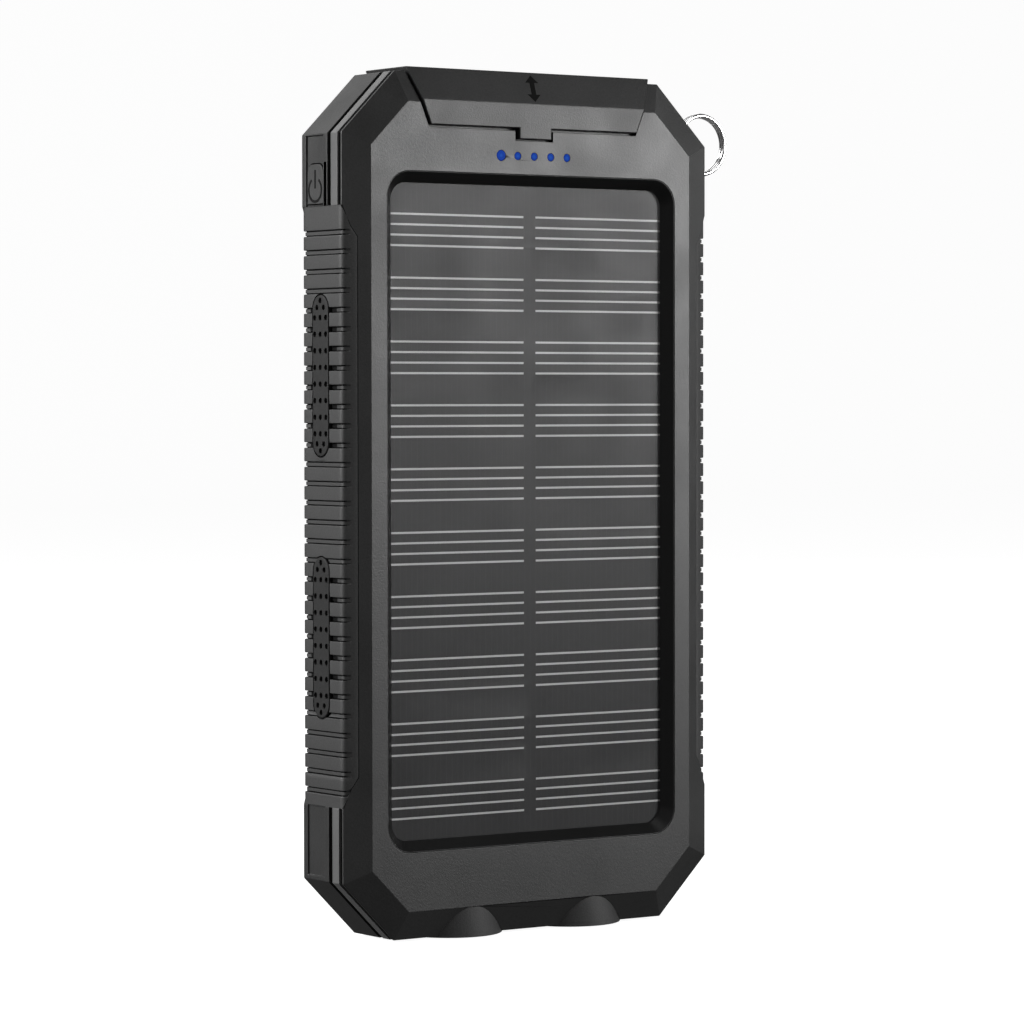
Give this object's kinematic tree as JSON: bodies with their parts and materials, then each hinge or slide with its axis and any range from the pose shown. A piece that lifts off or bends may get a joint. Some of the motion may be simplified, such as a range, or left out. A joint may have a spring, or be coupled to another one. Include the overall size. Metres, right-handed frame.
{
  "type": "solar phone charger",
  "caption": "Pocket power bank with a solar panel on its face, torches in its lower end, ribbed rubber side grips, a hinged rubber port cover, a side power button and a key ring.",
  "frame": {"origin": "centre of the flat back face", "axes": "+Z along the long side, from the torches up to the port cover; +Y out of the back face, so the solar panel faces -Y; +X to the right seen from the panel side, towards the key ring"},
  "size_m": [0.087, 0.0174, 0.1514],
  "materials": {
    "shell": "fine moulded texture, matte, dark grey",
    "shell_back": "fine moulded texture, matte, dark grey",
    "edge_strip": "satin dark grey strip around the edge",
    "black_plastic": "black, matte",
    "grip_rubber": "ribbed soft rubber, matte dark grey",
    "pad_rubber": "dimpled soft rubber, black",
    "cover_rubber": "soft rubber moulded with the shell's texture",
    "panel_film": "clear film over the cells, satin",
    "cell_silicon": "dark solar cells",
    "busbar_silver": "printed silver lines",
    "circuit_green": "green circuit board",
    "foam_tape": "closed cell foam tape, black",
    "seal_rubber": "silicone cord, red brown",
    "indicator_blue": "clear light guide lit blue",
    "led_white": "white LED packages",
    "usb_steel": "nickel plated sheet steel",
    "socket_white": "white insulator",
    "chip_black": "black moulded packages",
    "ceramic_tan": "tan ceramic capacitors",
    "plunger_white": "white plunger",
    "button_plastic": "satin dark grey cap",
    "battery_foil": "aluminium laminate pouch",
    "wire_red": "PVC covered wire",
    "wire_grey": "PVC covered wire",
    "torch_board_white": "aluminium board, white coated",
    "emitter_yellow": "phosphor covered emitters",
    "reflector_chrome": "vacuum metallised bowl",
    "lens_clear": "clear polycarbonate",
    "screw_steel": "black oxide steel",
    "pin_steel": "ground steel",
    "ring_chrome": "nickel plated spring wire"
  },
  "bodies": {
    "housing": {"front_bezel": "shell", "mid_frame": "edge_strip", "back_shell": "shell_back", "port_plate": "black_plastic", "grip_left": "grip_rubber", "grip_right": "grip_rubber", "grip_pad_left_upper": "pad_rubber", "grip_pad_left_lower": "pad_rubber", "grip_pad_right_upper": "pad_rubber", "grip_pad_right_lower": "pad_rubber", "panel_surround": "black_plastic", "panel_window": "panel_film", "solar_cells": "cell_silicon", "cell_busbars": "busbar_silver", "panel_substrate": "circuit_green", "panel_tape": "foam_tape", "housing_seal": "seal_rubber", "light_guide": "indicator_blue", "indicator_leds": "led_white", "circuit_board": "circuit_green", "usb_a_shell_left": "usb_steel", "usb_a_shell_right": "usb_steel", "usb_a_tongue_left": "socket_white", "usb_a_tongue_right": "socket_white", "usb_c_shell": "usb_steel", "usb_c_tongue": "chip_black", "power_inductor": "chip_black", "controller_chip": "chip_black", "capacitors": "ceramic_tan", "tact_switch": "chip_black", "battery_cell_front": "battery_foil", "battery_cell_back": "battery_foil", "battery_tape": "foam_tape", "battery_leads": "wire_red", "solar_leads": "wire_grey", "torch_leads": "wire_grey", "torch_board": "torch_board_white", "torch_emitters": "emitter_yellow", "torch_reflector_left": "reflector_chrome", "torch_reflector_right": "reflector_chrome", "torch_lens_left": "lens_clear", "torch_lens_right": "lens_clear", "torch_seals": "seal_rubber", "torch_bezel_left": "shell", "torch_bezel_right": "shell", "case_screws": "screw_steel", "board_screws": "pin_steel", "lanyard_pin": "pin_steel", "cover_tether": "cover_rubber"},
    "button": {"power_button": "button_plastic"},
    "plunger": {"switch_plunger": "plunger_white"},
    "cover": {"port_cover": "cover_rubber"},
    "ring": {"key_ring": "ring_chrome"}
  },
  "joints": [
    {"name": "power_button_press", "type": "slide", "parent": "housing", "child": "button", "axis": [1, 0, 0], "range_m": [0, 0.0005], "stiffness_N_per_m": 500, "springref_m": -0.001},
    {"name": "switch_plunger_press", "type": "slide", "parent": "housing", "child": "plunger", "axis": [1, 0, 0], "range_m": [0, 0.0005]},
    {"name": "port_cover_hinge", "type": "hinge", "parent": "housing", "child": "cover", "pos_m": [0, -0.001, 0.0752], "axis": [-1, 0, 0], "range_deg": [0, 130]},
    {"name": "key_ring_swing", "type": "hinge", "parent": "housing", "child": "ring", "pos_m": [0.03805, -0.0095, 0.06375], "axis": [0, -1, 0], "range_deg": [-40, 25]}
  ],
  "couplings": [
    {"joint": "switch_plunger_press", "follows": "power_button_press", "ratio": 1}
  ]
}
